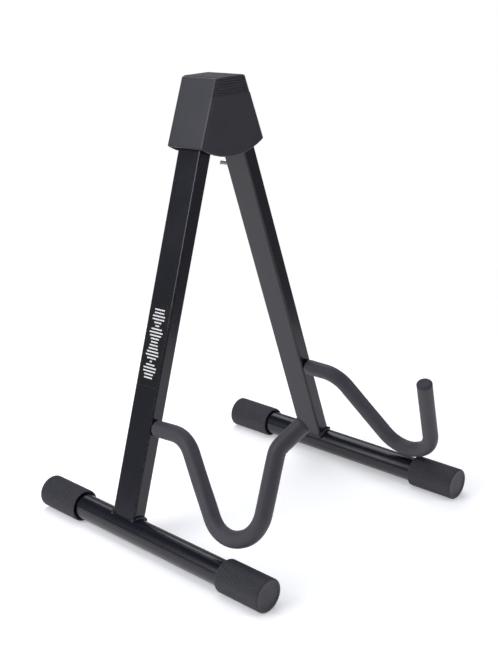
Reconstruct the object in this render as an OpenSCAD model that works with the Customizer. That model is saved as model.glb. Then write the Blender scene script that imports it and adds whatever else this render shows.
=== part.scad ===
// Folding A-frame floor stand for a guitar.
// Two welded legs hang from a steel hinge bracket under a moulded cover. Each leg is one
// rectangular tube on a round foot tube, with a padded hook bent from steel rod in front.
// Origin: on the floor, in the middle of the footprint. Front is -Y, left is -X, up is +Z.

/* [Stance] */
// Distance between the two foot tubes, axis to axis at the legs
foot_spacing = 286; // [260:2:320]
// Reach of each foot in front of its leg, to the end of the cap
foot_front = 184.6; // [175:0.2:200]
// Reach of each foot behind its leg, to the end of the cap
foot_rear = 113.6; // [100:0.2:140]
// Angle by which the front ends of the feet point outwards
toe_out = 1.2; // [0:0.1:2]
// Angle of each leg from the upright, seen from the front
splay = 18.25; // [17:0.25:19]
// Angle by which the plane of the legs leans back
lean = 2.3; // [0:0.1:4]
// Height of the two hinges above the foot tubes' axes, up the plane of the legs
hinge_height = 392; // [388:1:396]

/* [Tubes] */
// Leg tube, front to back
leg_deep = 30; // [28:1:30]
// Leg tube, side to side
leg_wide = 15; // [14:0.5:15]
// Outside corner radius of the leg tube
leg_corner = 2; // [1:0.5:3]
// Outside diameter of the foot tube
foot_d = 25; // [22:1:25]
// Wall of both kinds of tube
tube_wall = 1.5; // [1:0.1:2]

/* [Foot caps] */
// Outside diameter of a foot cap
cap_d = 32; // [30:1:34]
// Length of a foot cap
cap_length = 51.5; // [45:0.5:60]
// Thickness of a foot cap's closed end
cap_end = 3; // [2:0.5:5]
// Depth of the flat moulded along the bottom of a foot cap
cap_flat = 0.5; // [0.3:0.1:1]

/* [Hooks] */
// Diameter of the hook's steel rod
rod_d = 10; // [8:1:11]
// Outside diameter of the foam sleeve
sleeve_d = 16.2; // [15:0.2:18]
// Height of the hook's root, measured up the leg from the foot tube's axis
hook_root = 100; // [95:1:105]
// Angle of the left hook's weld: nose down is positive
left_hook_tilt = -2; // [-3:0.5:3]
// Angle of the right hook's weld: nose down is positive
right_hook_tilt = 3; // [-3:0.5:3]
// Roll of the right hook's weld about its first straight
right_hook_roll = 3; // [0:0.5:3]
// Angle by which both hooks are turned about their legs, outwards is positive
hook_turn = 1; // [0:0.5:2]

/* [Head] */
// Depth of the head cover, front to back
head_deep = 47; // [46:0.5:50]
// Half the head cover's width along its top edge
head_top_half = 19.7; // [19.5:0.1:21]
// Half the head cover's width at its lowest side corners
head_low_half = 43; // [42:0.5:45]
// Height of the cover's top above the hinges
head_rise = 20.2; // [20:0.1:24]
// Height of the cover's side corners below the hinges
head_drop = 42; // [40:1:46]
// Wall of the head cover
head_wall = 2.8; // [2:0.1:3]

/* [Lock button] */
// Diameter of the lock button
button_d = 6; // [5:0.5:6]
// Length of the lock button that stands out of the leg
button_out = 13; // [10:1:14]
// Travel of the lock button
button_travel = 8; // [4:1:8]

/* [Label] */
// Length of the label on the left leg
label_length = 82; // [60:1:100]
// Width of the label
label_wide = 27; // [20:1:27]

/* [Hidden] */
$fn = 64;

eps = 1;                                    // how far a cutter runs past what it cuts
cap_r = cap_d / 2;
axis_z = cap_r - cap_flat;                  // the foot tubes' axis above the floor
leg_y = (foot_front - foot_rear) / 2 * cos(toe_out);
hinge_along = hinge_height / cos(splay);    // hinge height measured along a leg
hinge_x = foot_spacing / 2 - hinge_height * tan(splay);
leg_top = hinge_along + 7;                  // the leg tubes end just above their hinges
pin_r = 4;                                  // hinge rivet shank
pin_clear = 0.05;                           // running clearance round a pin
washer_t = 0.9;
washer_r = 7;
washer_fit = 0.2;                           // the washers' bore is this much wider than a pin
rivet_head_r = 7;
rivet_head_t = 2.2;
plate_in = leg_deep / 2 + 1;                // inside face of the bracket's plates
plate_t = 2;
plate_out = plate_in + plate_t;
plate_low = hinge_height - 26;              // the plates' lower and upper edges
plate_high = hinge_height + 12.5;
plate_low_half = 32;                        // half the plates' width along those edges
plate_high_half = 17;
flange_gap = 0.05;                          // an open leg rests this close to its stop
flange_low = hinge_along - 26;              // the stops' lower end, measured along a leg
flange_long = 17;
head_top = hinge_height + head_rise;
head_corner = hinge_height - head_drop;
head_low = head_corner - 24;                // below the arc that the sides are cut off by
head_slope = (head_low_half - head_top_half) / (head_top - head_corner);
head_sag = 12;                              // the lower edge curves down this far
crown_wall = 3.6;                           // the cover's thickness over the top
panel_rise = 0.8;                           // the grip panel stands this proud of the top
panel_inset = 3;                            // and this far in from the sides
panel_end = 0.5;                            // and this far in from the front and rear
panel_floor = 0.3;                          // its grooves stop this high above the top
panel_grooves = 19;
groove_count = 7;
groove_first = 1.6;                         // the front's first groove is this far down
groove_pitch = 2.3;
groove_wide = 1;
groove_deep = 0.7;
screw_z = [hinge_height - 24, hinge_height + 4];
screw_r = 1.75;
screw_head_r = 3.3;
screw_head_t = 1.6;
screw_sunk = 1.2;                           // the screw heads' wells are this deep
screw_slot = [3.6, 0.7];                    // length and width of each bar of the cross slot
well_r = 3.6;
boss_r = 3.5;
button_along = 340;
button_in = 2;                              // the button sits this far in from the leg's middle
collar_r = 3.8;
collar_t = 1.5;
collar_z = -tube_wall - collar_t - 0.05;    // inner face of the button's collar
spring_t = 0.8;
spring_wide = 7;
spring_arm = 34;                            // the fold is this far down the leg
spring_foot = 20;                           // the outer arm runs this far past the button
spring_pad = 5;                             // half the length of the flat on the button
label_low = 137;                            // the label's lower edge, up the leg
label_t = 0.25;

// Each hook's corners, forwards from the leg's middle, and up the leg, then its tip. The
// left hook's end is bent inwards, and the right hook's end runs on straight.
// x is inwards, y is backwards and z is up, in the left leg's own directions.
hook_corners = [
    [0, -leg_deep / 2, hook_root],
    [0, -55.5, hook_root],
    [0, -117.5, hook_root - 84],
    [0, -160.5, hook_root - 66]
];
left_hook_route = concat(hook_corners, [
    [0, -165.5, hook_root + 12],
    [15, -178.5, hook_root + 37.5]
]);
right_hook_route = concat(hook_corners, [[0, -167.2, hook_root + 24.5]]);
hook_bends = [0, 32, 31.5, 31.5, 20, 0];
sleeve_start = 1.5;                         // the sleeve stops short of the weld
sleeve_fit = 0.1;
joint_lip = 0.03;
joint_lap = 0.1;
end_t = 2.5;
end_edge = 1.5;

function unit(v) = v / norm(v);
function half_width(z) = head_top_half + (head_top - z) * head_slope;
// Angle turned through at a corner, and how far its arc starts before it
function turn_at(p, i) = acos(unit(p[i] - p[i - 1]) * unit(p[i + 1] - p[i]));
function setback(p, b, i) = b[i] * tan(turn_at(p, i) / 2);
// A route with its two ends trimmed by the lengths given
function trimmed(p, first, last) = [
    for (i = [0:len(p) - 1])
        i == 0 ? p[0] + first * unit(p[1] - p[0])
        : i == len(p) - 1 ? p[i] - last * unit(p[i] - p[i - 1])
        : p[i]
];

// ---- frames -------------------------------------------------------------------------

// The plane of the legs: x sideways, y back, z up the lean from the foot tubes' axes
module in_leg_plane() {
    translate([0, leg_y, axis_z]) rotate([-lean, 0, 0]) children();
}

// The left leg's own directions: x inwards, y back, z up the leg
module in_left_leg() {
    translate([-foot_spacing / 2, leg_y, axis_z]) rotate([-lean, 0, 0])
        rotate([0, splay, 0]) children();
}

// The left foot tube's own directions: z runs forwards along its axis, y is up
module in_left_foot() {
    translate([-foot_spacing / 2, leg_y, axis_z]) rotate([0, 0, -toe_out])
        rotate([90, 0, 0]) children();
}

module right_side() {
    mirror([1, 0, 0]) children();
}

// Lays a shape that was drawn round +Z along the line from a to b
module along(a, b) {
    d = b - a;
    translate(a) rotate([0, acos(d.z / norm(d)), atan2(d.y, d.x)]) children();
}

// ---- bent rod and sleeve ------------------------------------------------------------

module ring(r_out, r_in) {
    difference() {
        circle(r_out);
        if (r_in > 0) circle(r_in);
    }
}

// A straight rod or sleeve from a to b
module straight(a, b, r_out, r_in) {
    along(a, b) linear_extrude(norm(b - a)) ring(r_out, r_in);
}

// The arc that rounds corner i of a route. It is a hair thicker than the straights, whose
// ends are buried in it, so that the pieces of a bar join into one solid.
module bend(p, b, i, r_out, r_in) {
    into = unit(p[i] - p[i - 1]);
    away = unit(p[i + 1] - p[i]);
    start = p[i] - into * setback(p, b, i);
    normal = unit(cross(into, away));
    side = cross(into, normal);
    centre = start - side * b[i];
    multmatrix([
        [side.x, into.x, normal.x, centre.x],
        [side.y, into.y, normal.y, centre.y],
        [side.z, into.z, normal.z, centre.z],
        [0, 0, 0, 1]
    ])
        rotate_extrude(angle = turn_at(p, i)) translate([b[i], 0])
            ring(r_out + joint_lip, r_in > 0 ? r_in - joint_lip : 0);
}

// A rod or sleeve bent along a route, with a bend radius for each corner
module bent_bar(p, b, r_out, r_in = 0) {
    last = len(p) - 1;
    for (i = [0:last - 1]) {
        way = unit(p[i + 1] - p[i]);
        a = p[i] + way * (i == 0 ? 0 : setback(p, b, i) - joint_lap);
        z = p[i + 1] - way * (i + 1 == last ? 0 : setback(p, b, i + 1) - joint_lap);
        straight(a, z, r_out, r_in);
    }
    for (i = [1:last - 1]) bend(p, b, i, r_out, r_in);
}

// ---- leg pieces, drawn for the left side --------------------------------------------

module rounded_bar(w, d, r) {
    square([w - 2 * r, d], center = true);
    square([w, d - 2 * r], center = true);
    for (x = [-1, 1], y = [-1, 1])
        translate([x * (w / 2 - r), y * (d / 2 - r)]) circle(r);
}

// Rectangular tube with its foot cut to sit on the foot tube, and one bore for the hinge
module leg() {
    difference() {
        in_left_leg() difference() {
            linear_extrude(leg_top) difference() {
                rounded_bar(leg_wide, leg_deep, leg_corner);
                square([leg_wide - 2 * tube_wall, leg_deep - 2 * tube_wall], center = true);
            }
            translate([0, 0, hinge_along]) rotate([90, 0, 0])
                cylinder(h = leg_deep + 2 * eps, r = pin_r + pin_clear, center = true);
        }
        in_left_foot() cylinder(h = 2 * leg_deep, r = foot_d / 2, center = true);
    }
}

module foot_tube() {
    in_left_foot() translate([0, 0, -foot_rear + cap_end])
        linear_extrude(foot_front + foot_rear - 2 * cap_end)
            ring(foot_d / 2, foot_d / 2 - tube_wall);
}

// Moulded cap, closed at z = 0, with a flared mouth round the tube and a flat underneath
module cap() {
    chamfer = 1.2;
    mouth_r = foot_d / 2 + 1.6;
    mouth_deep = 4;
    intersection() {
        rotate_extrude() polygon([
            [0, 0], [cap_r - chamfer, 0], [cap_r, chamfer],
            [cap_r, cap_length - chamfer], [cap_r - chamfer, cap_length],
            [mouth_r, cap_length], [mouth_r, cap_length - mouth_deep],
            [foot_d / 2, cap_length - mouth_deep], [foot_d / 2, cap_end], [0, cap_end]
        ]);
        translate([-cap_r - eps, cap_flat - cap_r, -eps])
            cube([2 * (cap_r + eps), 2 * cap_r, cap_length + 2 * eps]);
    }
}

module front_cap() {
    in_left_foot() translate([0, 0, foot_front]) rotate([0, 180, 0]) cap();
}

module rear_cap() {
    in_left_foot() translate([0, 0, -foot_rear]) cap();
}

// Puts a hook on the left leg, with the small angles of its weld
module at_hook_root(tilt, roll) {
    root = hook_corners[0];
    in_left_leg() translate(root) rotate([tilt, roll, -hook_turn]) translate(-root) children();
}

module hook_rod(route, tilt, roll) {
    at_hook_root(tilt, roll)
        bent_bar(trimmed(route, 0, end_t), hook_bends, rod_d / 2);
}

module hook_sleeve(route, tilt, roll) {
    at_hook_root(tilt, roll)
        bent_bar(trimmed(route, sleeve_start, end_t), hook_bends,
                 sleeve_d / 2, rod_d / 2 + sleeve_fit);
}

// Round-edged disc that closes the sleeve at the tip of the rod
module hook_end(route, tilt, roll) {
    last = len(route) - 1;
    r = sleeve_d / 2;
    at_hook_root(tilt, roll)
        along(trimmed(route, 0, end_t)[last], route[last]) rotate_extrude() {
            square([r - end_edge, end_t]);
            square([r, end_t - end_edge]);
            intersection() {
                translate([r - end_edge, end_t - end_edge]) circle(end_edge);
                square([r, end_t]);
            }
        }
}

// ---- hinge pieces -------------------------------------------------------------------

module hinge_rivet() {
    dome_r = (rivet_head_r * rivet_head_r + rivet_head_t * rivet_head_t) / (2 * rivet_head_t);
    in_left_leg() translate([0, 0, hinge_along]) rotate([90, 0, 0]) {
        cylinder(h = 2 * plate_out, r = pin_r, center = true);
        for (end = [0, 180]) rotate([0, end, 0]) translate([0, 0, plate_out])
            intersection() {
                translate([0, 0, rivet_head_t - dome_r]) sphere(dome_r);
                cylinder(h = rivet_head_t, r = rivet_head_r);
            }
    }
}

module hinge_washers() {
    gap = (plate_in - leg_deep / 2 - washer_t) / 2;
    in_left_leg() translate([0, 0, hinge_along]) rotate([90, 0, 0])
        for (end = [0, 180]) rotate([0, end, 0]) translate([0, 0, leg_deep / 2 + gap])
            linear_extrude(washer_t) ring(washer_r, pin_r + washer_fit);
}

// Pressed channel: two plates joined over the top, with a stop flange outside each leg
module bracket() {
    flange_in = leg_wide / 2 + flange_gap;
    in_leg_plane() difference() {
        union() {
            for (face = [-1, 1])
                translate([0, face * (plate_in + plate_t / 2), 0]) rotate([90, 0, 0])
                    linear_extrude(plate_t, center = true) polygon([
                        [-plate_low_half, plate_low], [plate_low_half, plate_low],
                        [plate_high_half, plate_high], [-plate_high_half, plate_high]
                    ]);
            translate([-plate_high_half, -plate_out, plate_high])
                cube([2 * plate_high_half, 2 * plate_out, plate_t]);
        }
        for (x = [-hinge_x, hinge_x])
            translate([x, 0, hinge_height]) rotate([90, 0, 0])
                cylinder(h = 2 * plate_out + 2 * eps, r = pin_r, center = true);
        for (z = screw_z)
            translate([0, plate_in - eps, z]) rotate([-90, 0, 0])
                cylinder(h = plate_t + 2 * eps, r = screw_r + pin_clear);
    }
    for (side = [0, 1]) mirror([side, 0, 0]) in_left_leg()
        translate([-flange_in - plate_t, -plate_in, flange_low])
            cube([plate_t, 2 * plate_in, flange_long]);
}

// ---- head cover ---------------------------------------------------------------------

// The slanted sides of the cover, brought in by inset, from low up to top
module head_sides(inset, low, top) {
    polygon([
        [-half_width(top) + inset, top], [half_width(top) - inset, top],
        [half_width(low) - inset, low], [-half_width(low) + inset, low]
    ]);
}

// Front view of the cover, whose lower edge is a shallow arc
module head_outline() {
    arc_r = (head_low_half * head_low_half + head_sag * head_sag) / (2 * head_sag);
    intersection() {
        head_sides(0, head_low, head_top);
        translate([0, head_corner - head_sag + arc_r]) circle(arc_r, $fn = 180);
    }
}

// Round bars at the two screws, reaching from one depth to another
module at_screws(r, from, to) {
    for (z = screw_z) translate([0, from, z]) rotate([-90, 0, 0])
        cylinder(h = to - from, r = r);
}

module cover() {
    slant = head_wall / cos(atan(head_slope));
    in_leg_plane() difference() {
        union() {
            difference() {
                rotate([90, 0, 0])
                    linear_extrude(head_deep, center = true) head_outline();
                rotate([90, 0, 0])
                    linear_extrude(head_deep - 2 * head_wall, center = true)
                        head_sides(slant, head_low - eps, head_top - crown_wall);
            }
            // grip panel over the top
            translate([panel_inset - head_top_half, panel_end - head_deep / 2, head_top - eps])
                cube([
                    2 * (head_top_half - panel_inset), head_deep - 2 * panel_end,
                    eps + panel_rise
                ]);
            at_screws(boss_r, plate_out, head_deep / 2);
        }
        // grip grooves across the top of the front
        for (i = [0:groove_count - 1])
            translate([0, -head_deep / 2, head_top - groove_first - i * groove_pitch])
                cube([2 * head_low_half, 2 * groove_deep, groove_wide], center = true);
        // grip grooves along the top panel
        for (i = [0:panel_grooves - 1])
            translate([0, (i - (panel_grooves - 1) / 2) * groove_pitch, head_top + panel_rise])
                cube([4 * head_top_half, groove_wide, 2 * (panel_rise - panel_floor)],
                     center = true);
        at_screws(screw_r + pin_clear, plate_out - eps, head_deep / 2);
        at_screws(well_r, head_deep / 2 - screw_sunk, head_deep / 2 + eps);
    }
}

module screws() {
    in_leg_plane() for (z = screw_z) translate([0, 0, z]) rotate([-90, 0, 0]) {
        translate([0, 0, plate_in])
            cylinder(h = head_deep / 2 - screw_sunk - plate_in, r = screw_r);
        translate([0, 0, head_deep / 2 - screw_sunk]) difference() {
            cylinder(h = screw_head_t, r = screw_head_r);
            for (turn = [0, 90]) rotate([0, 0, turn]) translate([0, 0, screw_head_t])
                cube([screw_slot.x, screw_slot.y, screw_head_t], center = true);
        }
    }
}

// ---- lock button --------------------------------------------------------------------

// Puts a shape on the rear of the right leg, x inwards, z out of the leg's rear face
module at_button() {
    right_side() in_left_leg()
        translate([button_in, leg_deep / 2, button_along]) rotate([-90, 0, 0]) children();
}

module button() {
    dome = button_d / 2;
    at_button() {
        translate([0, 0, collar_z]) cylinder(h = collar_t, r = collar_r);
        translate([0, 0, collar_z]) cylinder(h = button_out - dome - collar_z, r = dome);
        translate([0, 0, button_out - dome]) sphere(dome);
    }
}

// Folded leaf that pushes the button out: one arm on the button, one on the front wall
module spring() {
    back = collar_z;
    front = tube_wall - leg_deep;
    middle = (back + front) / 2;
    fold = 3 * spring_t;
    // each point is how far down the leg, and how far out from its rear face
    outline = [
        [-spring_pad, back], [spring_pad, back], [spring_arm + fold, middle],
        [spring_pad, front], [-spring_foot, front], [-spring_foot, front + spring_t],
        [spring_pad, front + spring_t], [spring_arm, middle],
        [spring_pad, back - spring_t], [-spring_pad, back - spring_t]
    ];
    at_button() rotate([0, 90, 0]) linear_extrude(spring_wide, center = true)
        polygon([for (q = outline) [-q.y, q.x]]);
}

// ---- label --------------------------------------------------------------------------

module label() {
    in_left_leg() translate([-leg_wide / 2 - label_t, -label_wide / 2, label_low])
        cube([label_t, label_wide, label_length]);
}

// ---- named pieces -------------------------------------------------------------------

module head_cover() { color("#33323a") cover(); }
module cover_screws() { color("#3a3a3c") screws(); }
module hinge_bracket() { color("#8d8f92") bracket(); }
module left_hinge_rivet() { color("#b8babd") hinge_rivet(); }
module right_hinge_rivet() { color("#b8babd") right_side() hinge_rivet(); }
module left_hinge_washers() { color("#e4e2da") hinge_washers(); }
module right_hinge_washers() { color("#e4e2da") right_side() hinge_washers(); }
module left_leg() { color("#1d1d21") leg(); }
module left_foot_tube() { color("#1d1d21") foot_tube(); }
module left_front_cap() { color("#3c3c40") front_cap(); }
module left_rear_cap() { color("#3c3c40") rear_cap(); }
module left_hook_rod() { color("#1d1d21") hook_rod(left_hook_route, left_hook_tilt, 0); }
module left_hook_sleeve() { color("#46454b") hook_sleeve(left_hook_route, left_hook_tilt, 0); }
module left_hook_end() { color("#3f3e44") hook_end(left_hook_route, left_hook_tilt, 0); }
module leg_label() { color("#0b0b0d") label(); }
module right_leg() {
    color("#1d1d21") difference() {
        right_side() leg();
        at_button() translate([0, 0, -tube_wall - eps])
            cylinder(h = tube_wall + 2 * eps, r = button_d / 2 + pin_clear);
    }
}
module right_foot_tube() { color("#1d1d21") right_side() foot_tube(); }
module right_front_cap() { color("#3c3c40") right_side() front_cap(); }
module right_rear_cap() { color("#3c3c40") right_side() rear_cap(); }
module right_hook_rod() {
    color("#1d1d21") right_side() hook_rod(right_hook_route, right_hook_tilt, right_hook_roll);
}
module right_hook_sleeve() {
    color("#46454b") right_side() hook_sleeve(right_hook_route, right_hook_tilt, right_hook_roll);
}
module right_hook_end() {
    color("#3f3e44") right_side() hook_end(right_hook_route, right_hook_tilt, right_hook_roll);
}
module lock_button() { color("#d2d4d6") button(); }
module lock_spring() { color("#a9abae") spring(); }

head_cover();
cover_screws();
hinge_bracket();
left_hinge_rivet();
right_hinge_rivet();
left_hinge_washers();
right_hinge_washers();
left_leg();
left_foot_tube();
left_front_cap();
left_rear_cap();
left_hook_rod();
left_hook_sleeve();
left_hook_end();
leg_label();
right_leg();
right_foot_tube();
right_front_cap();
right_rear_cap();
right_hook_rod();
right_hook_sleeve();
right_hook_end();
lock_button();
lock_spring();
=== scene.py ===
import math
import random

import bmesh
import bpy
from mathutils import Matrix, Vector


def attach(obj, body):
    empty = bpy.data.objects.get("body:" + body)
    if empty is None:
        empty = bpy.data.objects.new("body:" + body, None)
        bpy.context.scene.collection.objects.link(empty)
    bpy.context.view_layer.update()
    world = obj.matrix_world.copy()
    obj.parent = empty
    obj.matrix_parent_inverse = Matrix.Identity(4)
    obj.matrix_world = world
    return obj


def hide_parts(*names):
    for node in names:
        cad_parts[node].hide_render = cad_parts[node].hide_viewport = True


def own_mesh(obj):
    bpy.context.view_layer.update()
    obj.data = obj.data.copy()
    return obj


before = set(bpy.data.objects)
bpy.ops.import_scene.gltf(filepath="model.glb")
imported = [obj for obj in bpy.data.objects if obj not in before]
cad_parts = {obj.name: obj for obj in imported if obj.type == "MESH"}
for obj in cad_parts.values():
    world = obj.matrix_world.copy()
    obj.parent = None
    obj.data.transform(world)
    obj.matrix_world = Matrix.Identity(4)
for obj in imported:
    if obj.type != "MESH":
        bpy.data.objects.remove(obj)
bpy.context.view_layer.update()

# ---- Camera ---------------------------------------------------------------------------
# It stands to the left of the stand and in front of it, a little above the hinge cover,
# and looks slightly down through a lens somewhat longer than normal.
camera_at = (-0.85093, -0.76408, 0.58)
camera_azimuth = math.radians(-47.802)
camera_elevation = math.radians(19.085)
camera_back = Vector((
    math.sin(camera_azimuth) * math.cos(camera_elevation),
    -math.cos(camera_azimuth) * math.cos(camera_elevation),
    math.sin(camera_elevation),
))
camera_right = Vector((math.cos(camera_azimuth), math.sin(camera_azimuth), 0))
camera_up = camera_back.cross(camera_right)
lens = bpy.data.cameras.new("camera")
lens.lens = 67.04
lens.sensor_width = 36
lens.shift_x = 0.0005
lens.shift_y = -0.0007
camera = bpy.data.objects.new("camera", lens)
camera.matrix_world = Matrix.Translation(camera_at) @ Matrix(
    (camera_right, camera_up, camera_back)
).transposed().to_4x4()
bpy.context.scene.collection.objects.link(camera)
bpy.context.scene.camera = camera


# ---- Studio ---------------------------------------------------------------------------
# A round white card table under a broad overhead softbox, with three smaller ones to the
# left, in front and behind. The room is white to the eye, and its walls light dimly.
class Wire:
    """One output of a shader node. Sums written on it add Math nodes."""

    def __init__(self, finish, socket):
        self.finish, self.socket = finish, socket

    def math(self, operation, *terms):
        return self.finish.node("Math", {"operation": operation}, dict(enumerate(terms)))

    def __add__(self, other):
        return self.math("ADD", self, other)

    def __sub__(self, other):
        return self.math("SUBTRACT", self, other)

    def __rsub__(self, other):
        return self.math("SUBTRACT", other, self)

    def __mul__(self, other):
        return self.math("MULTIPLY", self, other)

    def __truediv__(self, other):
        return self.math("DIVIDE", self, other)

    def __rtruediv__(self, other):
        return self.math("DIVIDE", other, self)

    def __abs__(self):
        return self.math("ABSOLUTE", self)

    __radd__, __rmul__ = __add__, __mul__

    def ramp(self, low, high):
        """0 below low, 1 above high, and smooth between."""
        return self.finish.node(
            "MapRange", {"interpolation_type": "SMOOTHSTEP"}, {0: self, 1: low, 2: high}
        )


class Finish:
    """A material, or the room, as a tree of shader nodes."""

    def __init__(self, owner):
        self.owner = owner
        owner.use_nodes = True
        self.tree = owner.node_tree
        self.tree.nodes.clear()

    def node(self, kind, settings, sockets, out=0):
        made = self.tree.nodes.new("ShaderNode" + kind)
        for key, value in settings.items():
            setattr(made, key, value)
        for key, value in sockets.items():
            if isinstance(value, Wire):
                self.tree.links.new(value.socket, made.inputs[key])
            else:
                made.inputs[key].default_value = value
        return Wire(self, made.outputs[out]) if len(made.outputs) else None

    def colours(self, mask, first, second):
        """first where mask is 0, second where it is 1."""
        return self.node("Mix", {"data_type": "RGBA"}, {0: mask, 6: first, 7: second}, 2)

    def noise(self, where, size, detail=2.0, rough=0.5):
        """Cloudy noise whose lumps are about size across."""
        return self.node(
            "TexNoise", {},
            {"Vector": where, "Scale": 1 / size, "Detail": detail, "Roughness": rough},
        )

    def bump(self, height, strength, depth, under=None):
        """Relief of the given depth, on top of another bump if one is given."""
        sockets = {"Height": height, "Strength": strength, "Distance": depth}
        if under:
            sockets["Normal"] = under
        return self.node("Bump", {}, sockets)


def shade(level, blue=0.0):
    """A grey, with some blue added to it."""
    return (level, level, level + blue, 1)


room = Finish(bpy.data.worlds.new("room"))
bpy.context.scene.world = room.owner
seen = room.node("LightPath", {}, {}, "Is Camera Ray")
towards = room.node("TexCoord", {}, {}, "Generated")
height = room.node("SeparateXYZ", {}, {0: towards}, 2)
wall_low, wall_high = (0.27, 0.275, 0.3, 1), (0.1, 0.102, 0.12, 1)
walls = room.colours(abs(height).ramp(0.05, 0.6), wall_low, wall_high)
dim = room.node("Background", {}, {"Color": walls, "Strength": 1.0})
white = room.node("Background", {}, {"Color": shade(1), "Strength": 1.0})
both = room.node("MixShader", {}, {0: seen, 1: dim, 2: white})
room.node("OutputWorld", {}, {"Surface": both})
bpy.context.scene.view_settings.view_transform = "Standard"


def softbox(name, at, look, size, watts, mirrored=True):
    """A square cool white light at a place, turned to look at another."""
    lamp = bpy.data.lights.new(name, "AREA")
    lamp.size = size
    lamp.energy = watts
    lamp.color = (0.94, 0.95, 1.0)
    box = bpy.data.objects.new(name, lamp)
    box.visible_glossy = mirrored
    box.location = at
    box.rotation_euler = (Vector(look) - Vector(at)).to_track_quat("-Z", "Y").to_euler()
    bpy.context.scene.collection.objects.link(box)


softbox("softbox_over", (-0.3, 0.3, 1.9), (0, 0, 0), 1.5, 20, False)
softbox("softbox_left", (-1.5, 0.5, 1.1), (0, 0, 0.25), 1.1, 18)
softbox("softbox_front", (0.7, -1.5, 1.0), (0, 0, 0.25), 0.6, 7)
softbox("softbox_back", (1.0, 1.2, 1.9), (0, 0, 0.25), 1.4, 14)

table_radius = 0.62
table_mesh = bpy.data.meshes.new("table")
shape = bmesh.new()
bmesh.ops.create_circle(shape, cap_ends=True, radius=table_radius, segments=96)
shape.to_mesh(table_mesh)
shape.free()
table = bpy.data.objects.new("table", table_mesh)
bpy.context.scene.collection.objects.link(table)
card = Finish(bpy.data.materials.new("table_card"))
where = card.node("TexCoord", {}, {}, "Object")
card_tone = card.colours(card.noise(where, 0.2), shade(0.86), shade(0.9))
card_look = card.node("BsdfPrincipled", {}, {
    "Base Color": card_tone, "Roughness": 0.7, "Emission Color": card_tone,
    "Emission Strength": 0.36,
})
card.node("OutputMaterial", {}, {"Surface": card_look})
table_mesh.materials.append(card.owner)

# ---- Legs, foot tubes and hook rods ---------------------------------------------------
# Steel tube and bent rod, welded together and then powder coated gloss black in one go.
# The coat has a slight orange peel, is thinner on the corners and gathers a little dust.
MM = 0.001
splay = math.radians(18.25)
lean = math.radians(-2.3)
leg_foot = Vector((-0.143, 0.035492, 0.0155))
leg_plane = Matrix.Translation((0, leg_foot.y, leg_foot.z)) @ Matrix.Rotation(lean, 4, "X")
left_leg = (
    Matrix.Translation(leg_foot) @ Matrix.Rotation(lean, 4, "X")
    @ Matrix.Rotation(splay, 4, "Y")
)
to_right = Matrix.Scale(-1, 4, (1, 0, 0))
sides = {"left": Matrix.Identity(4), "right": to_right}
leg_half_wide, leg_half_deep = 7.5 * MM, 15 * MM


def leg_directions(finish):
    """How far a point of either leg is across it, and from its middle front to back."""
    where = finish.node("TexCoord", {}, {}, "Object")
    parts = finish.node("SeparateXYZ", {}, {0: where})
    left_x = abs(parts) * -1.0
    y, z = (Wire(finish, parts.socket.node.outputs[i]) for i in (1, 2))
    point = finish.node("CombineXYZ", {}, {0: left_x, 1: y, 2: z})
    from_foot = finish.node("VectorMath", {"operation": "SUBTRACT"}, {0: point, 1: leg_foot})
    axes = left_leg.to_3x3().transposed()
    return [
        finish.node("VectorMath", {"operation": "DOT_PRODUCT"}, {0: from_foot, 1: axis}, 1)
        for axis in axes
    ]


def black_coat(name, peel_size, peel_depth, corners):
    """Gloss black powder coat, if asked for with wear along the corners of the leg tube."""
    coat = Finish(bpy.data.materials.new(name))
    where = coat.node("TexCoord", {}, {}, "Object")
    facing = coat.node("SeparateXYZ", {}, {0: coat.node("TexCoord", {}, {}, "Normal")}, 2)
    cloudy = coat.noise(where, 0.05, 3.0)
    dust = facing.ramp(0.3, 1.0) * coat.noise(where, 0.0025, 5.0, 0.75).ramp(0.5, 0.85)
    tone = coat.colours(cloudy, shade(0.0035, 0.0045), shade(0.0075, 0.0055))
    tone = coat.colours(dust * 0.25, tone, shade(0.03, 0.004))
    specks = coat.node("TexVoronoi", {}, {"Vector": where, "Scale": 1 / 0.006})
    speck = (1 - specks.ramp(0.02, 0.05)) * coat.noise(where, 0.02).ramp(0.5, 0.6)
    tone = coat.colours(speck * 0.35, tone, shade(0.12))
    rough = 0.19 + cloudy * 0.11 + dust * 0.16 + speck * 0.2
    if corners:
        across, along, _ = leg_directions(coat)
        edge = abs(across).ramp(5.9 * MM, 7.3 * MM) * abs(along).ramp(13.4 * MM, 14.8 * MM)
        rubbed = edge * coat.noise(where, 0.006, 4.0, 0.65).ramp(0.4, 0.62)
        tone = coat.colours(rubbed * 0.55, tone, shade(0.06))
        rough = rough + rubbed * 0.1
    peel = coat.noise(where, peel_size, 2.0, 0.45)
    fine = coat.noise(where, peel_size * 0.22, 1.0)
    normal = coat.bump(peel + fine * 0.2, 0.55, peel_depth)
    look = coat.node("BsdfPrincipled", {}, {
        "Base Color": tone, "Roughness": rough, "Normal": normal,
        "Specular IOR Level": 0.43, "Coat Weight": 0.1, "Coat Roughness": 0.1,
    })
    coat.node("OutputMaterial", {}, {"Surface": look})
    return coat.owner


leg_coat = black_coat("black_coat_leg", 2.4 * MM, 0.05 * MM, True)
tube_coat = black_coat("black_coat_tube", 2.4 * MM, 0.04 * MM, False)
for side in sides:
    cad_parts[side + "_leg"].material_slots[0].material = leg_coat
    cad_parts[side + "_foot_tube"].material_slots[0].material = tube_coat
    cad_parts[side + "_hook_rod"].material_slots[0].material = tube_coat

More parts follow.
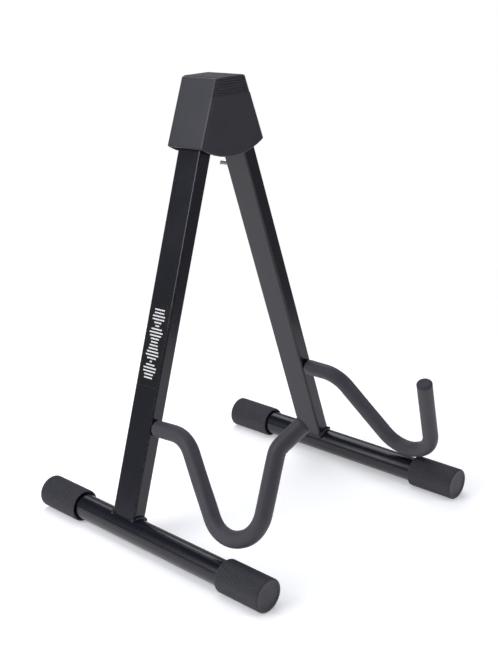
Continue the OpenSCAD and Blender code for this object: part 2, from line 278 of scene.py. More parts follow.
# ---- Weld beads -----------------------------------------------------------------------
# Each leg is welded to its foot tube across its front and rear faces, and a bead runs
# round the root of each hook rod. The beads are lumpy, and lie under the same black coat.
foot_radius = 12.5 * MM
bead_sections, bead_sides, bead_taper = 56, 14, 9
bead_sizes = {"front": 2.5 * MM, "rear": 2.1 * MM}
root_sections, root_sides = 72, 10
root_ring, root_bead, root_up = 5.3 * MM, 1.15, 100 * MM


def piece(name, rings, place, body, material, wrap=True, caps=True):
    """A closed mesh skinned over rings of points, which place puts into the frame."""
    shape = bmesh.new()
    rows = [[shape.verts.new(place @ Vector(p)) for p in ring] for ring in rings]
    count = len(rows[0])
    for low, high in zip(rows, rows[1:]):
        for i in range(count if wrap else count - 1):
            j = (i + 1) % count
            shape.faces.new((low[i], low[j], high[j], high[i]))
    if caps:
        shape.faces.new(rows[0])
        shape.faces.new(rows[-1])
    bmesh.ops.remove_doubles(shape, verts=shape.verts, dist=1e-7)
    bmesh.ops.recalc_face_normals(shape, faces=shape.faces)
    mesh = bpy.data.meshes.new(name)
    shape.to_mesh(mesh)
    shape.free()
    mesh.polygons.foreach_set("use_smooth", [True] * len(mesh.polygons))
    made = bpy.data.objects.new(name, mesh)
    bpy.context.scene.collection.objects.link(made)
    mesh.materials.append(material)
    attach(made, body)
    return made


def tube_rings(line, radii, count, wobble=None):
    """Circles of the given radii round the points of a line, without twist."""
    rings = []
    turn = None
    for i, point in enumerate(line):
        before, after = line[max(i - 1, 0)], line[min(i + 1, len(line) - 1)]
        ahead = (after - before).normalized()
        if turn is None:
            turn = ahead.orthogonal().normalized()
        turn = (turn - ahead * turn.dot(ahead)).normalized()
        side = ahead.cross(turn)
        ring = []
        for k in range(count):
            angle = math.tau * k / count
            reach = radii[i] * (1 + (wobble(i, angle) if wobble else 0))
            ring.append(point + (turn * math.cos(angle) + side * math.sin(angle)) * reach)
        rings.append(ring)
    return rings


def bead_line(face):
    """Along the bottom of the leg's front (-1) or rear (1) face, and round both corners."""
    wrap = 4.5 * MM
    path = []
    for x in (-1, 1):
        corner = [(x * (leg_half_wide + 0.1 * MM), y) for y in (wrap, wrap / 2, 0.8 * MM)]
        path += corner if x < 0 else corner[::-1]
        if x < 0:
            path += [(leg_half_wide * s / 5, 0.0) for s in range(-4, 5)]
    line = []
    for x, inset in path:
        height = math.sqrt(foot_radius ** 2 - min(abs(x), leg_half_wide) ** 2)
        line.append(Vector((x, face * (leg_half_deep - inset), height)))
    return line


def finer(line, count):
    """Points evenly along a smooth line through the given ones."""
    curve = []
    for i in range(len(line) - 1):
        a, b = line[max(i - 1, 0)], line[i]
        c, d = line[i + 1], line[min(i + 2, len(line) - 1)]
        for s in range(8):
            t = s / 8
            curve.append(0.5 * (
                2 * b + (c - a) * t + (2 * a - 5 * b + 4 * c - d) * t ** 2
                + (3 * b - a - 3 * c + d) * t ** 3
            ))
    curve.append(line[-1])
    lengths = [0.0]
    for p, q in zip(curve, curve[1:]):
        lengths.append(lengths[-1] + (q - p).length)
    even, k = [], 0
    for i in range(count):
        want = lengths[-1] * i / (count - 1)
        while k < len(curve) - 2 and lengths[k + 1] < want:
            k += 1
        share = (want - lengths[k]) / max(lengths[k + 1] - lengths[k], 1e-9)
        even.append(curve[k].lerp(curve[k + 1], min(share, 1)))
    return even


weld_random = random.Random(7)
weld_coat = black_coat("black_coat_weld", 1.2 * MM, 0.08 * MM, False)
for side, mirror in sides.items():
    place = mirror @ left_leg
    for end, size in bead_sizes.items():
        line = finer(bead_line(-1 if end == "front" else 1), bead_sections)
        lumps = [weld_random.uniform(-0.14, 0.2) for _ in range(16)]
        radii = []
        for i in range(bead_sections):
            lump_before = i * 15 // bead_sections
            lump = lumps[lump_before] * 0.6 + lumps[lump_before + 1] * 0.4
            ripple = 0.07 * math.sin(i * 1.55)
            from_end = min(i, bead_sections - 1 - i)
            ends = min(1.0, (from_end + 0.3) / bead_taper) ** 0.6
            radii.append(size * (1 + lump + ripple) * ends)
        bumps = [weld_random.uniform(0, math.tau) for _ in range(3)]
        bead = piece(
            side + "_" + end + "_weld",
            tube_rings(line, radii, bead_sides, lambda i, a: 0.06 * math.sin(
                3 * a + bumps[0] + i * 0.4) + 0.05 * math.sin(2 * a + bumps[1] - i * 0.7)),
            place, side + "_leg", weld_coat,
        )
    root = Vector((0, -leg_half_deep - 0.15 * MM, root_up))
    rings = []
    for i in range(root_sections):
        angle = math.tau * i / root_sections
        outward = Vector((math.cos(angle), 0, math.sin(angle)))
        swell = root_bead + 0.12 * math.sin(9 * angle) + 0.1 * math.sin(4 * angle)
        rings.append([
            root + outward * root_ring + swell * MM * (
                outward * math.cos(math.tau * k / root_sides)
                + Vector((0, math.sin(math.tau * k / root_sides), 0)))
            for k in range(root_sides)
        ])
    rings.append(rings[0])
    bead = piece(side + "_hook_weld", rings, place, side + "_leg", weld_coat, caps=False)

# ---- Tube seams -----------------------------------------------------------------------
# The foot tubes are rolled from strip and seam welded. That leaves a low ridge along the
# bare stretch of each tube, on its outer side, under the black coat.
seam_angle, seam_half, seam_high = math.radians(-68), 0.75 * MM, 0.14 * MM
seam_sections, seam_points = 60, 8
foot_frame = (
    Matrix.Translation(leg_foot) @ Matrix.Rotation(math.radians(-1.2), 4, "Z")
    @ Matrix.Rotation(math.radians(90), 4, "X")
)
foot_front, foot_rear = 184.6 * MM, 113.6 * MM
under_cap = 47 * MM
seam_ends = (-foot_rear + under_cap, foot_front - under_cap)
for side, mirror in sides.items():
    rings = []
    for i in range(seam_sections + 1):
        along = seam_ends[0] + (seam_ends[1] - seam_ends[0]) * i / seam_sections
        wander = 0.05 * MM * math.sin(i * 0.7)
        ring = []
        for k in range(seam_points + 1):
            share = 2 * k / seam_points - 1
            angle = seam_angle + (share * seam_half + wander) / foot_radius
            crest = max(0.0, 1 - share ** 2) * seam_high * (1 + 0.15 * math.sin(i * 1.9))
            reach = foot_radius - 0.05 * MM + crest
            ring.append((reach * math.sin(angle), reach * math.cos(angle), along))
        low = foot_radius - 0.3 * MM
        ring.append((low * math.sin(seam_angle), low * math.cos(seam_angle), along))
        rings.append(ring)
    ridge = piece(side + "_tube_seam", rings, mirror @ foot_frame, side + "_leg", tube_coat)

# ---- Foot caps ------------------------------------------------------------------------
# Ribbed synthetic rubber caps pushed over the ends of the foot tubes. The ribs run along
# the cap and tooth its rims, the closed end is dished, and the mouth flares off the tube.
cap_ribs, rib_depth, points_per_rib = 52, 0.55, 8
cap_flat = 15.5 * MM
# radius and height above the closed end in mm, and how deep the ribs are cut there
cap_profile = [
    (0.01, 0.7, 0), (6, 0.7, 0), (11.6, 0.7, 0), (12.2, 0.55, 0), (12.5, 0.15, 0),
    (12.9, 0, 0), (14.0, 0, 0), (14.6, 0.03, 0.1), (15.2, 0.15, 0.6), (15.7, 0.45, 1),
    (15.95, 1, 1), (16, 1.8, 1), (16, 8, 1), (16, 17.5, 1), (16, 26.5, 1), (16, 35.5, 1),
    (16, 43.5, 1), (16, 49.1, 1), (15.95, 49.9, 1), (15.75, 50.7, 1), (15.35, 51.25, 0.9),
    (14.9, 51.5, 0.3), (14.4, 51.5, 0), (14.15, 51.2, 0), (14.1, 50.5, 0), (14.05, 48.1, 0),
    (13.9, 47.7, 0), (13.5, 47.6, 0), (13.35, 47.9, 0), (13.1, 48.1, 0), (12.75, 48.1, 0),
    (12.56, 47.8, 0), (12.55, 41.5, 0), (12.55, 4, 0), (12.0, 3.2, 0), (0.01, 3.2, 0),
]

rubber = Finish(bpy.data.materials.new("ribbed_rubber"))
where = rubber.node("TexCoord", {}, {}, "Object")
valley = rubber.node("Attribute", {"attribute_name": "valley"}, {}, "Fac")
mottle = rubber.noise(where, 9 * MM, 4.0, 0.6)
scuff = rubber.noise(where, 3 * MM, 5.0, 0.7).ramp(0.5, 0.68) * (1 - valley)
tone = rubber.colours(mottle, shade(0.019, 0.006), shade(0.031, 0.007))
# the rubber is painted darker the deeper it lies in a groove between the ribs: painted shade
# in the grooves
tone = rubber.colours(valley * 0.7, tone, shade(0.01, 0.005))
tone = rubber.colours(scuff * 0.4, tone, shade(0.085))
grain = rubber.noise(where, 0.5 * MM, 3.0, 0.6)
rubber_look = rubber.node("BsdfPrincipled", {}, {
    "Base Color": tone, "Roughness": 0.47 + mottle * 0.1 + scuff * 0.15,
    "Specular IOR Level": 0.5, "Normal": rubber.bump(grain, 0.5, 0.05 * MM),
})
rubber.node("OutputMaterial", {}, {"Surface": rubber_look})

cap_seats = {
    "front": Matrix.Translation((0, 0, foot_front)) @ Matrix.Rotation(math.pi, 4, "Y"),
    "rear": Matrix.Translation((0, 0, -foot_rear)),
}
for side, mirror in sides.items():
    for end, seat in cap_seats.items():
        steps = cap_ribs * points_per_rib
        rings, dips = [], []
        for radius, height, cut in cap_profile:
            ring = []
            for k in range(steps):
                angle = math.tau * k / steps
                dip = (0.5 - 0.5 * math.cos(cap_ribs * angle)) ** 0.8
                reach = (radius - rib_depth * cut * dip) * MM
                ring.append((
                    reach * math.sin(angle),
                    max(reach * math.cos(angle), -cap_flat), height * MM,
                ))
                dips.append(dip * cut)
            rings.append(ring)
        name = side + "_" + end + "_ribbed_cap"
        cap = piece(name, rings, mirror @ foot_frame @ seat, side + "_leg", rubber.owner)
        mark = cap.data.attributes.new("valley", "FLOAT", "POINT")
        mark.data.foreach_set("value", dips[:len(cap.data.vertices)])
        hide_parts(side + "_" + end + "_cap")

# ---- Hook sleeves ---------------------------------------------------------------------
# Closed-cell foam tube pulled over each hook rod before its tip is plugged. It is matt,
# finely pored, a little uneven, and creased on the inside of the bends.
sleeve_start, plug_length = 1.5 * MM, 2.5 * MM
sleeve_radius, rod_radius, sleeve_fit = 8.1 * MM, 5 * MM, 0.1 * MM
# the corners of each hook in mm in the leg's own directions, and their bend radii. The
# right rod runs on straight to its tip, and the left rod is bent inwards once more.
hook_corners = [(0, -15, 100), (0, -55.5, 100), (0, -117.5, 16), (0, -160.5, 34)]
hook_routes = {
    "left": hook_corners + [(0, -165.5, 112), (15, -178.5, 137.5)],
    "right": hook_corners + [(0, -167.2, 124.5)],
}
hook_bends = [0, 32, 31.5, 31.5, 20, 0]
# each weld's nose-down angle and its roll, and how far out both hooks are turned
hook_welds = {"left": (-2, 0), "right": (3, 3)}
hook_turn = -1
sleeve_step, sleeve_sides = 1.1 * MM, 40


def bent_line(corners, bends, step):
    """Points about a step apart along a route with rounded corners. With them comes how
    tightly, and towards which side, the route bends at each."""
    points = [Vector(c) * MM for c in corners]
    line, bend = [], []

    def run(a, b):
        count = max(1, round((b - a).length / step))
        for i in range(count):
            line.append(a.lerp(b, i / count))
            bend.append(Vector((0, 0, 0)))

    at = points[0]
    for i in range(1, len(points) - 1):
        into = (points[i] - points[i - 1]).normalized()
        away = (points[i + 1] - points[i]).normalized()
        turn = into.angle(away)
        radius = bends[i] * MM
        start = points[i] - into * radius * math.tan(turn / 2)
        run(at, start)
        normal = into.cross(away).normalized()
        side = normal.cross(into)
        count = max(2, round(radius * turn / step))
        for k in range(count):
            angle = turn * k / count
            centre = start + side * radius
            spoke = -side * math.cos(angle) + into * math.sin(angle)
            line.append(centre + spoke * radius)
            fade = math.sin(math.pi * k / count) ** 0.6
            bend.append(-spoke * fade / bends[i])
        at = points[i] + away * radius * math.tan(turn / 2)
    run(at, points[-1])
    line.append(points[-1])
    bend.append(Vector((0, 0, 0)))
    return line, bend


def hook_place(side):
    """From the leg's own directions, with the small angles of each hook's weld."""
    tilt, roll = hook_welds[side]
    root = Matrix.Translation(Vector(hook_corners[0]) * MM)
    turns = (
        Matrix.Rotation(math.radians(hook_turn), 4, "Z")
        @ Matrix.Rotation(math.radians(roll), 4, "Y")
        @ Matrix.Rotation(math.radians(tilt), 4, "X")
    )
    return sides[side] @ left_leg @ root @ turns @ root.inverted()


foam = Finish(bpy.data.materials.new("closed_cell_foam"))
where = foam.node("TexCoord", {}, {}, "Object")
pores = foam.node("TexVoronoi", {}, {"Vector": where, "Scale": 1 / (0.75 * MM)})
pits = 1 - pores.ramp(0.0, 0.42)
patch = foam.noise(where, 14 * MM, 4.0, 0.6)
rubbed = foam.noise(where, 5 * MM, 5.0, 0.7).ramp(0.5, 0.7)
tone = foam.colours(patch, (0.03, 0.0285, 0.036, 1), (0.041, 0.039, 0.048, 1))
# each pore, sunk in by the bump below, is also painted darker: painted shade in the pores
tone = foam.colours(pits * 0.45, tone, (0.013, 0.0125, 0.019, 1))
tone = foam.colours(rubbed * 0.3, tone, (0.06, 0.058, 0.07, 1))
skin_bump = foam.bump(foam.noise(where, 2.6 * MM, 3.0, 0.6), 0.5, 0.12 * MM)
foam_normal = foam.bump(1 - pits, 0.6, 0.07 * MM, skin_bump)
foam_look = foam.node("BsdfPrincipled", {}, {
    "Base Color": tone, "Roughness": 0.52 + patch * 0.12, "Specular IOR Level": 0.5,
    "Sheen Weight": 0.12, "Sheen Roughness": 0.5, "Normal": foam_normal,
})
foam.node("OutputMaterial", {}, {"Surface": foam_look})

foam_random = random.Random(21)
for side in sides:
    line, bend = bent_line(hook_routes[side], hook_bends, sleeve_step)
    first = next(i for i, p in enumerate(line) if (p - line[0]).length > sleeve_start)
    last = next(i for i, p in enumerate(line) if (line[-1] - p).length < plug_length)
    line[first] = line[0] + (line[1] - line[0]).normalized() * sleeve_start
    line[last] = line[-1] + (line[-2] - line[-1]).normalized() * plug_length
    line, bend = line[first:last + 1], bend[first:last + 1]
    waves = [
        (foam_random.uniform(0.02, 0.06), foam_random.uniform(0, math.tau),
         foam_random.choice((0, 1, 2, 3)))
        for _ in range(7)
    ]
    count = len(line)
    rows = []
    turn = None
    for i, point in enumerate(line):
        ahead = (line[min(i + 1, count - 1)] - line[max(i - 1, 0)]).normalized()
        turn = ahead.orthogonal() if turn is None else turn
        turn = (turn - ahead * turn.dot(ahead)).normalized()
        cross = ahead.cross(turn)
        ring = []
        for k in range(sleeve_sides):
            angle = math.tau * k / sleeve_sides
            spoke = turn * math.cos(angle) + cross * math.sin(angle)
            uneven = sum(
                0.028 * math.sin(i * rate * 2.2 + phase + lobes * angle)
                for rate, phase, lobes in waves
            )
            inside = max(0.0, spoke.dot(bend[i])) * 32
            crease = inside ** 2 * (0.24 * math.sin(i * 1.32) + 0.1 * math.sin(i * 0.77 + 2))
            reach = sleeve_radius - 0.1 * MM + (uneven - max(0, crease)) * MM
            ring.append((point, ahead, spoke, reach))
        rows.append(ring)

    def rim(row, drop, out):
        """The row's points, drawn in by drop and moved outwards along the sleeve by out."""
        return [p + a * out + s * (r - drop) for p, a, s, r in row]

    bore = rod_radius + sleeve_fit
    rings = [[p + s * bore for p, a, s, r in row] for row in rows[::-1]]
    rings += [rim(rows[0], 2.4 * MM, 0), rim(rows[0], 1.1 * MM, 0)]
    for angle in (20, 45, 70):
        drop = 1.1 * (1 - math.sin(math.radians(angle))) * MM
        rings.append(rim(rows[0], drop, 1.1 * (1 - math.cos(math.radians(angle))) * MM))
    rings += [rim(row, 0, 0) for row in rows[2:]]
    sleeve = piece(side + "_foam_sleeve", rings + [rings[0]], hook_place(side),
                   side + "_leg", foam.owner, caps=False)
    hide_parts(side + "_hook_sleeve")

# ---- Hook end plugs -------------------------------------------------------------------
# A round-edged disc of denser foam glued on the tip of each sleeve, so that the rod's
# cut end cannot mark a guitar. A fine joint shows where it meets the sleeve.
plug_finish = Finish(bpy.data.materials.new("dense_foam"))
where = plug_finish.node("TexCoord", {}, {}, "Object")
patch = plug_finish.noise(where, 6 * MM, 4.0, 0.6)
speckle = plug_finish.node("TexVoronoi", {}, {"Vector": where, "Scale": 1 / (0.6 * MM)})
tone = plug_finish.colours(patch, shade(0.024, 0.008), shade(0.036, 0.01))
# the small pits, sunk in by the bump, are also painted darker: painted shade in the pits
tone = plug_finish.colours((1 - speckle.ramp(0.0, 0.4)) * 0.4, tone, shade(0.016))
plug_look = plug_finish.node("BsdfPrincipled", {}, {
    "Base Color": tone, "Roughness": 0.6 + patch * 0.1, "Specular IOR Level": 0.45,
    "Normal": plug_finish.bump(speckle, 0.5, 0.05 * MM),
})
plug_finish.node("OutputMaterial", {}, {"Surface": plug_look})
# radius and height above the sleeve in mm
plug_profile = [
    (0.01, -0.02), (7.4, -0.02), (7.75, 0.12), (8.0, 0.35), (8.08, 0.7), (7.95, 1.15),
    (7.6, 1.65), (7.05, 2.08), (6.3, 2.38), (5.5, 2.5), (4.8, 2.44), (4.2, 2.3),
    (3, 2.22), (0.01, 2.2),
]
plug_sides = 48
for side in sides:
    tip = Vector(hook_routes[side][-1]) * MM
    tip_ahead = (tip - Vector(hook_routes[side][-2]) * MM).normalized()
    tip_side = tip_ahead.orthogonal().normalized()
    tip_cross = tip_ahead.cross(tip_side)
    rings = [
        [
            tip + tip_ahead * (height * MM - plug_length) + radius * MM * (
                tip_side * math.cos(math.tau * k / plug_sides)
                + tip_cross * math.sin(math.tau * k / plug_sides))
            for k in range(plug_sides)
        ]
        for radius, height in plug_profile
    ]
    plug = piece(side + "_hook_plug", rings, hook_place(side), side + "_leg",
                 plug_finish.owner)
    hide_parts(side + "_hook_end")

# ---- Head cover -----------------------------------------------------------------------
# One moulded cover in tough grey-black plastic over the hinge bracket: slanted sides, a
# ribbed grip band across the top of the front, and a curved lower edge. The walls are
# 2.8 mm thick. Two screws hold it from behind.
head_top, head_corner = 412.2, 350.0
head_top_half, head_low_half = 19.7, 43.0
head_slope = (head_low_half - head_top_half) / (head_top - head_corner)
head_half_deep = 23.5
head_wall = 2.8
arc_radius, arc_centre = 83.042, 421.042
corner_round, corner_steps = 2.6, 8
band_high, band_low, band_step, first_groove = 0.35, 16.7, 0.5, 1.6
rib_pitch, rib_cut, band_recess = 2.3, 0.75, 0.45


def head_half(z):
    """Half the cover's width at a height."""
    return head_top_half + (head_top - z) * head_slope


def groove_shape(pitches, half_wide):
    """1 in the middle of each groove and 0 on the ribs, one groove to each pitch."""
    near = min(pitches % 1.0, 1 - pitches % 1.0)
    return max(0.0, 1 - (near / half_wide) ** 2) ** 0.6 if near < half_wide else 0.0


def band_depth(down):
    """How far the front is set back, this far below the top."""
    if down > band_low + band_step or down < band_high:
        return 0.0
    if down > band_low:
        return band_recess * (1 - (down - band_low) / band_step)
    ends = min(1.0, (down - band_high) / 0.3)
    groove = groove_shape((down - first_groove) / rib_pitch, 0.27)
    return ends * (band_recess + rib_cut * groove)


def head_ring(level, inset, round_by):
    """One loop round the cover. level gives the height for a sideways position."""
    spans = [0, 0.03, 0.1, 0.2, 0.3, 0.4, 0.5, 0.6, 0.7, 0.8, 0.9, 0.97]
    corners = [(-1, -1), (1, -1), (1, 1), (-1, 1)]
    outwards = [(0, -1), (1, 0), (0, 1), (-1, 0)]
    loop = []

    def put(u, v, out_x, out_y):
        z = level(head_half(head_corner) * 0.9 * u)
        for _ in range(12):
            half = head_half(z) - inset - round_by
            z = level(u * half + out_x * round_by)
        half = head_half(z) - inset - round_by
        deep = head_half_deep - inset - round_by
        y = v * deep + out_y * round_by
        if inset < 1.5:
            y += band_depth(head_top - z) * max(0, -out_y)
        loop.append(Vector((u * half + out_x * round_by, y, z)) * MM)

    for i in range(4):
        (u, v), (out_x, out_y) = corners[i], outwards[i]
        (next_u, next_v), (next_x, next_y) = corners[(i + 1) % 4], outwards[(i + 1) % 4]
        for s in spans:
            put(u + (next_u - u) * s, v + (next_v - v) * s, out_x, out_y)
        for k in range(corner_steps):
            a = math.pi / 2 * k / corner_steps
            put(next_u, next_v, out_x * math.cos(a) + next_x * math.sin(a),
                out_y * math.cos(a) + next_y * math.sin(a))
    return loop


def edge_height(x):
    """The height of the cover's curved lower edge."""
    return arc_centre - math.sqrt(arc_radius ** 2 - min(abs(x), head_low_half) ** 2)


top_round, edge_round, roof, inner_round = 1.1, 1.3, 3.6, 0.4
top_steps, side_steps, edge_steps, band_pace = 6, 8, 5, 0.23
rings = []
for inset in (top_round + 0.6, top_round + 0.3):
    rings.append(head_ring(lambda x: head_top, inset, corner_round - 1))
for k in range(top_steps + 1):
    a = math.pi / 2 * k / top_steps
    z = head_top - top_round * (1 - math.cos(a))
    rings.append(head_ring(
        lambda x: z, top_round * (1 - math.sin(a)), corner_round - 1 + math.sin(a)))
down = top_round + 0.15
while down < band_low + 0.7:
    rings.append(head_ring(lambda x: head_top - down, 0, corner_round))
    down += band_pace
band_end = head_top - down
for k in range(side_steps + 1):
    t = k / side_steps
    rings.append(head_ring(
        lambda x: band_end + (edge_height(x) + edge_round - band_end) * t, 0, corner_round))
for k in range(1, edge_steps + 1):
    a = math.pi / 2 * k / edge_steps
    rings.append(head_ring(
        lambda x: edge_height(x) + edge_round * (1 - math.sin(a)),
        edge_round * (1 - math.cos(a)), corner_round))
for inset, up in ((1.7, 0), (2.2, 0), (2.6, 0.15), (head_wall, 0.5)):
    rings.append(head_ring(
        lambda x: edge_height(x) + up, inset, max(corner_round - inset, inner_round)))
for t in (0.3, 0.65, 1.0):
    rings.append(head_ring(
        lambda x: edge_height(x) + 0.5 + (head_top - roof - edge_height(x) - 0.5) * t,
        head_wall, inner_round))

moulded = Finish(bpy.data.materials.new("moulded_cover"))
where = moulded.node("TexCoord", {}, {}, "Object")
facing = moulded.node("SeparateXYZ", {}, {0: moulded.node("TexCoord", {}, {}, "Normal")}, 2)
cloud = moulded.noise(where, 16 * MM, 4.0, 0.6)
# faint vertical streaks that lighten the tone are a painted sheen, mixed with random clouds
# of tone
painted_sheen_at = moulded.node("Mapping", {}, {0: where, "Scale": (1, 1, 0.12)})
painted_sheen = moulded.noise(painted_sheen_at, 3 * MM, 4.0, 0.6)
dust = moulded.noise(where, 2 * MM, 5.0, 0.7).ramp(0.5, 0.7) * (0.4 + facing.ramp(0, 1) * 0.6)
tone = moulded.colours(cloud * 0.6 + painted_sheen * 0.4, shade(0.024, 0.006), shade(0.038, 0.008))
tone = moulded.colours(dust * 0.25, tone, shade(0.075, 0.012))
spark = moulded.noise(where, 0.55 * MM, 3.0, 0.65)
moulded_look = moulded.node("BsdfPrincipled", {}, {
    "Base Color": tone, "Roughness": 0.36 + cloud * 0.1 + dust * 0.12,
    "Specular IOR Level": 0.5, "Normal": moulded.bump(spark, 0.6, 0.05 * MM),
})
moulded.node("OutputMaterial", {}, {"Surface": moulded_look})

cover = piece("moulded_head_cover", rings, leg_plane, "head", moulded.owner)
# each screw head sits in a shallow round well, cut into the rear face
screw_heights, well_sides = (368.0, 396.0), 40
well_floor, well_mouth = (head_half_deep - 1.25, 3.5), (head_half_deep + 2, 3.75)
for height in screw_heights:
    well = piece("well", [
        [Vector((radius * math.cos(math.tau * k / well_sides), y,
                 height + radius * math.sin(math.tau * k / well_sides))) * MM
         for k in range(well_sides)]
        for y, radius in (well_floor, well_mouth)
    ], leg_plane, "head", moulded.owner)
    cut = cover.modifiers.new("well", "BOOLEAN")
    cut.object, cut.operation, cut.solver = well, "DIFFERENCE", "EXACT"
    ready = cover.evaluated_get(bpy.context.evaluated_depsgraph_get())
    cover.data = bpy.data.meshes.new_from_object(ready)
    cover.modifiers.clear()
    bpy.data.objects.remove(well)
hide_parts("head_cover")

# ---- Grip panel -----------------------------------------------------------------------
# A raised bed of cross ribs over the top of the cover, part of the same moulding, with
# softened edges. It gives the fingers a hold when the stand is opened or carried.
panel_half_x, panel_half_y, panel_rise, panel_cut = 16.7, 23.0, 0.8, 0.55
section = [(-panel_half_y + 0.1, -0.4), (-panel_half_y, 0.35), (-panel_half_y + 0.3, 0.66)]
steps = 200
for i in range(steps + 1):
    y = (panel_half_y - 0.5) * (2 * i / steps - 1)
    section.append((y, panel_rise - panel_cut * groove_shape(y / rib_pitch, 0.24)))
section += [(panel_half_y - 0.3, 0.66), (panel_half_y, 0.35), (panel_half_y - 0.1, -0.4)]
rings = []
half_edge = [(0.5, 0), (0.96, 0), (0.98, 0.08), (0.993, 0.3), (1, 0.75)]
for x, drop in [(-x, drop) for x, drop in half_edge[::-1]] + [(0, 0)] + half_edge:
    rings.append([
        Vector((x * panel_half_x, y, head_top + min(z, panel_rise - drop))) * MM
        for y, z in section
    ])
panel = piece("grip_panel", rings, leg_plane, "head", moulded.owner)
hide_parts("head_cover")

# ---- Metal parts of the hinge ---------------------------------------------------------
# A pressed and zinc-plated bracket, two plain steel rivets that the legs turn on, nylon
# washers between leg and plate, and two blackened screws through the back of the cover.


def metal(name, dull, bright, rough, size, brushed=(1, 1, 1), depth=0.02):
    """Plated or bare metal with fine scratches, clouded by handling."""
    made = Finish(bpy.data.materials.new(name))
    where = made.node("TexCoord", {}, {}, "Object")
    along = made.node("Mapping", {}, {0: where, "Scale": brushed})
    fine = made.noise(along, size * 0.25, 4.0, 0.7)
    cloud = made.noise(where, size * 4, 4.0, 0.6)
    stain = made.noise(where, size * 1.5, 5.0, 0.7).ramp(0.52, 0.72)
    tone = made.colours(cloud, dull, bright)
    tone = made.colours(stain * 0.5, tone, tuple(c * 0.45 for c in dull[:3]) + (1,))
    look = made.node("BsdfPrincipled", {}, {
        "Base Color": tone, "Metallic": 1.0, "Roughness": rough + fine * 0.12 + stain * 0.15,
        "Normal": made.bump(fine, 0.4, depth * MM),
    })
    made.node("OutputMaterial", {}, {"Surface": look})
    return made.owner


zinc = metal("zinc_plate", (0.42, 0.41, 0.38, 1), (0.62, 0.62, 0.6, 1), 0.3, 4 * MM)
rivet_steel = metal("rivet_steel", (0.4, 0.4, 0.4, 1), (0.6, 0.6, 0.6, 1), 0.28, 2 * MM)
black_steel = metal("blackened_steel", shade(0.03, 0.006), shade(0.06, 0.008), 0.36, 1.5 * MM)
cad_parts["hinge_bracket"].material_slots[0].material = zinc
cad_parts["cover_screws"].material_slots[0].material = black_steel
nylon = Finish(bpy.data.materials.new("white_nylon"))
where = nylon.node("TexCoord", {}, {}, "Object")
grime = nylon.noise(where, 2 * MM, 5.0, 0.7).ramp(0.45, 0.75)
tone = nylon.colours(grime * 0.6, (0.62, 0.6, 0.54, 1), (0.25, 0.235, 0.21, 1))
nylon_look = nylon.node("BsdfPrincipled", {}, {
    "Base Color": tone, "Roughness": 0.42 + grime * 0.2,
    "Normal": nylon.bump(nylon.noise(where, 0.4 * MM), 0.3, 0.02 * MM),
})
nylon.node("OutputMaterial", {}, {"Surface": nylon_look})
for side in sides:
    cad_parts[side + "_hinge_rivet"].material_slots[0].material = rivet_steel
    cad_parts[side + "_hinge_washers"].material_slots[0].material = nylon.owner

# ---- Lock button and its spring -------------------------------------------------------
# A turned and polished steel pin that stands out of the back of the right leg, pushed
# from inside by a leaf of blue-tempered spring steel folded across the tube.
polished = metal("polished_steel", (0.7, 0.7, 0.7, 1), (0.86, 0.86, 0.86, 1), 0.1,
                 1.6 * MM, (1, 0.15, 1), 0.01)
spring_metal = metal("spring_steel", (0.2, 0.21, 0.25, 1), (0.34, 0.35, 0.4, 1), 0.26,
                     2 * MM, (1, 1, 0.1))
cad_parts["lock_button"].material_slots[0].material = polished
# how far down the leg from the button, and how far out from the leg's rear face, in mm
leaf_route = [
    (-5, -3.52), (0, -3.52), (5, -3.8), (12, -6.6), (21, -10.3), (31, -14.1), (34.2, -15.8),
    (31, -17.5), (21, -21.3), (12, -25.0), (5, -27.8), (-5, -28.08), (-20, -28.08),
]
leaf_half_wide, leaf_half_thick, leaf_edge, leaf_sections = 3.5, 0.4, 0.25, 70
button_up, button_in, button_travel = 340.0, 2.0, 8.0


def rounded_outline(half_u, half_v, corner, steps):
    """Points round a rectangle whose corners are rounded in so many steps."""
    points = []
    for su, sv, first in ((1, 1, 0), (-1, 1, 90), (-1, -1, 180), (1, -1, 270)):
        for k in range(steps + 1):
            angle = math.radians(first + 90 * k / steps)
            points.append((
                su * (half_u - corner) + corner * math.cos(angle),
                sv * (half_v - corner) + corner * math.sin(angle),
            ))
    return points


leaf_line = finer([Vector((0, out, -down)) for down, out in leaf_route], leaf_sections)
behind_button = Vector((button_in, leg_half_deep / MM, button_up))
rings = []
for i, point in enumerate(leaf_line):
    after = leaf_line[min(i + 1, leaf_sections - 1)]
    ahead = (after - leaf_line[max(i - 1, 0)]).normalized()
    flat = ahead.cross(Vector((1, 0, 0))).normalized()
    rings.append([
        (behind_button + Vector((across, 0, 0)) + point + flat * through) * MM
        for across, through in rounded_outline(leaf_half_wide, leaf_half_thick, leaf_edge, 2)
    ])
right_leg = to_right @ left_leg
leaf = piece("folded_leaf_spring", rings, right_leg, "right_leg", spring_metal)
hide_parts("lock_spring")
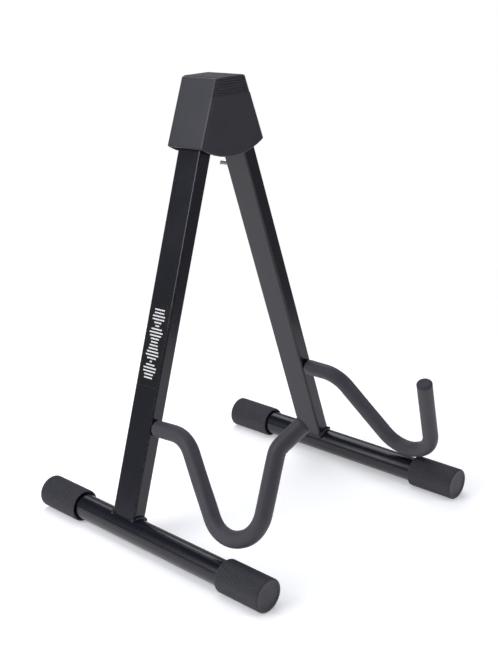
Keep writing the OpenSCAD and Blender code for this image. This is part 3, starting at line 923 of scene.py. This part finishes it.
# on the real stand the leaf folds flat against the inside of the leg's front as the button
# goes in; here only the share of its depth left then is worked out, which nothing uses, and
# the leaf keeps its built shape and gets its own copy of its mesh
leaf_out, leaf_in = leaf_route[0][1], leaf_route[-1][1]
leaf_depth = leaf_out - leaf_in
(leaf_depth - button_travel) / leaf_depth
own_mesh(leaf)

# ---- Label ----------------------------------------------------------------------------
# A glossy black film label, stuck on the outside of the left leg and printed with a plain
# white pattern of sound bars. Its corners are rounded and its edges have softened.
film_low, film_high, film_half = 137.0, 219.0, 13.5
film_round, film_corner_steps = 2.5, 8


def film_loop(out, inset):
    """One loop round the label, out from the leg's outer face and inset from its edge."""
    middle, half_high = (film_low + film_high) / 2, (film_high - film_low) / 2
    outline = rounded_outline(
        film_half - inset, half_high - inset, film_round - inset * 0.6, film_corner_steps)
    face = -leg_half_wide / MM - out
    return [Vector((face, along, middle + up)) * MM for along, up in outline]


film = Finish(bpy.data.materials.new("label_print"))
where = film.node("TexCoord", {}, {}, "Object")
across, along, up = leg_directions(film)
bar_pitch, bars_low, bar_count = 3.1 * MM, 144 * MM, 22
place_in_row = (up - bars_low) / bar_pitch
bar = film.node("Math", {"operation": "FLOOR"}, {0: place_in_row})
beside = abs(place_in_row - bar - 0.5)
swell = abs(film.node("Math", {"operation": "SINE"}, {0: bar * 0.55 + 0.4}))
flutter = abs(film.node("Math", {"operation": "SINE"}, {0: bar * 2.3 + 1.0}))
reach = (1.2 + swell * 5.2 + flutter * 2.6) * MM
printed = (
    (1 - beside.ramp(0.19, 0.25)) * (1 - (abs(along) - reach).ramp(-0.1 * MM, 0.1 * MM))
    * bar.math("GREATER_THAN", bar, -0.5) * bar.math("LESS_THAN", bar, bar_count - 0.5)
)
worn = film.noise(where, 1.5 * MM, 5.0, 0.7).ramp(0.62, 0.72)
printed = printed * (1 - worn * 0.5)
haze = film.noise(where, 8 * MM, 4.0, 0.6)
tone = film.colours(printed, film.colours(haze, shade(0.004), shade(0.009)), shade(0.8))
film_look = film.node("BsdfPrincipled", {}, {
    "Base Color": tone, "Roughness": 0.16 + haze * 0.1 + worn * 0.12,
    "Specular IOR Level": 0.5,
    "Normal": film.bump(film.noise(where, 5 * MM), 0.2, 0.05 * MM),
})
film.node("OutputMaterial", {}, {"Surface": film_look})
label = piece(
    "leg_label_film",
    [film_loop(out, inset) for out, inset in (
        (0.0, 0.05), (0.12, 0.02), (0.2, 0.06), (0.245, 0.2), (0.25, 0.5), (0.25, 1.2))],
    left_leg, "left_leg", film.owner,
)
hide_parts("leg_label")
